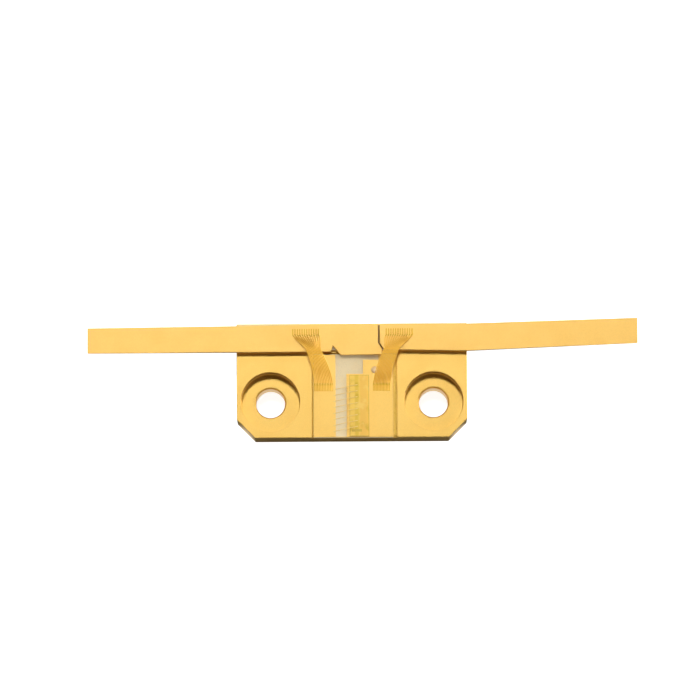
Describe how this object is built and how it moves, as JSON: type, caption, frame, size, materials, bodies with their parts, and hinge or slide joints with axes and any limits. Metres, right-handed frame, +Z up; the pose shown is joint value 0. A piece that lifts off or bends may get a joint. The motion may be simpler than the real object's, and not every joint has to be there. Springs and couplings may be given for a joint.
{
  "type": "laser diode",
  "caption": "Open-mount laser diode: a gold-plated block with counterbored screw holes carries a chip on a ceramic submount, fans of bond wires and flat ribbon leads.",
  "frame": {"origin": "on the block's base plane, midway between the axes of the two screw holes", "axes": "+X along the ribbon leads, +Y from the emitting face towards the leads, +Z up, out of the counterbores"},
  "size_m": [0.0304, 0.0065, 0.0033],
  "materials": {
    "block_gold": "gold plating over a milled copper block, satin",
    "lead_gold": "gold plating over a rolled copper ribbon, satin",
    "pad_gold": "thin evaporated gold, fine-grained",
    "wire_gold": "drawn gold wire, bright",
    "ceramic": "ground aluminium nitride, matt",
    "solder": "reflowed solder, dull",
    "die": "cleaved semiconductor, glossy",
    "contact": "plated gold contact, fine-grained"
  },
  "bodies": {
    "root": {"heat_sink_block": "block_gold", "insulator_solder": "solder", "lead_insulator": "ceramic", "left_lead_solder": "solder", "right_lead_solder": "solder", "left_lead": "lead_gold", "right_lead": "lead_gold", "submount_solder": "solder", "submount": "ceramic", "left_pad": "pad_gold", "chip_pad": "pad_gold", "chip_solder": "solder", "laser_chip": "die", "chip_contact": "contact", "solder_bead": "solder", "left_wire_01": "wire_gold", "left_wire_02": "wire_gold", "left_wire_03": "wire_gold", "left_wire_04": "wire_gold", "left_wire_05": "wire_gold", "left_wire_06": "wire_gold", "left_wire_07": "wire_gold", "left_wire_08": "wire_gold", "left_wire_09": "wire_gold", "left_wire_10": "wire_gold", "left_wire_11": "wire_gold", "left_wire_12": "wire_gold", "right_wire_01": "wire_gold", "right_wire_02": "wire_gold", "right_wire_03": "wire_gold", "right_wire_04": "wire_gold", "right_wire_05": "wire_gold", "right_wire_06": "wire_gold", "right_wire_07": "wire_gold", "right_wire_08": "wire_gold", "right_wire_09": "wire_gold", "right_wire_10": "wire_gold", "right_wire_11": "wire_gold", "right_wire_12": "wire_gold", "chip_wire_01": "wire_gold", "chip_wire_02": "wire_gold", "chip_wire_03": "wire_gold", "chip_wire_04": "wire_gold", "chip_wire_05": "wire_gold", "chip_wire_06": "wire_gold", "chip_wire_07": "wire_gold", "chip_wire_08": "wire_gold"}
  },
  "joints": []
}
